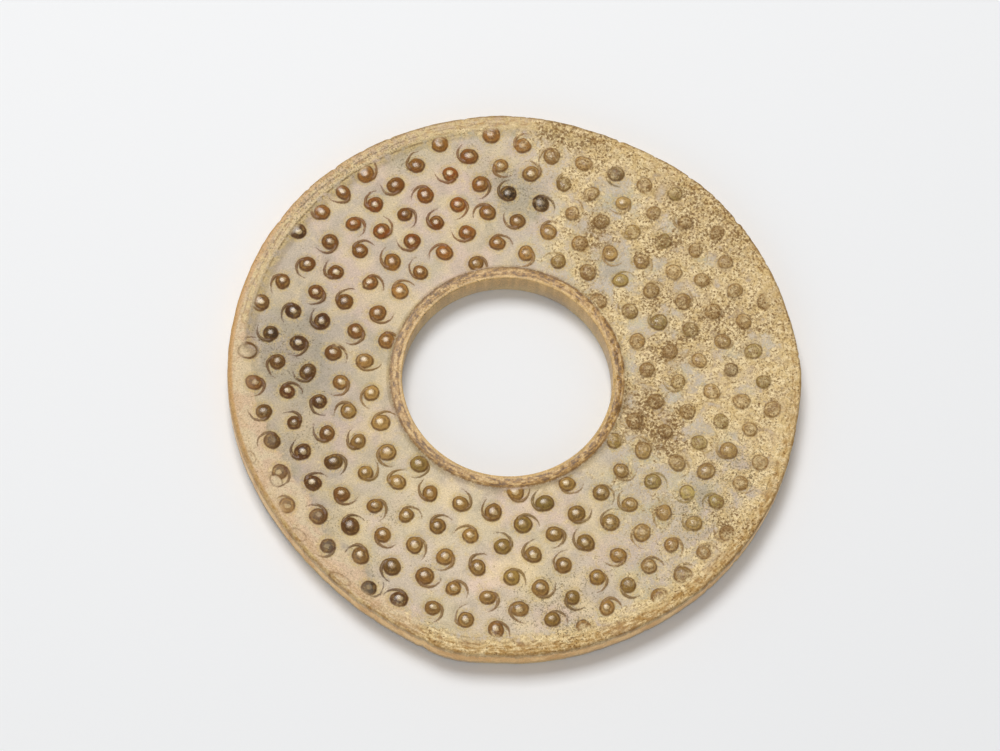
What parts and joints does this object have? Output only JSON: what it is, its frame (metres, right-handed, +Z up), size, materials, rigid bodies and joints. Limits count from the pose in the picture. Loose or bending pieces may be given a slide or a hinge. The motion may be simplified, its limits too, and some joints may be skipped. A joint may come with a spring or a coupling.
{
  "type": "jade bi disc",
  "caption": "Flat carved jade ring with grain-pattern knobs on both faces, plain raised rims, an off-centre round hole and a worn edge.",
  "frame": {"origin": "on the surface the disc lies on, under the middle of its worn outline's box", "axes": "+Z is up out of the better face; +X and +Y lie in the face, and the corner beside the worn flank points towards -Y"},
  "size_m": [0.1202, 0.1206, 0.0066],
  "materials": {
    "jade": "old soft polish, with brown stained knobs, a sandy ochre burial crust and pits on one side"
  },
  "bodies": {
    "root": {"bi_disc": "jade"}
  },
  "joints": []
}
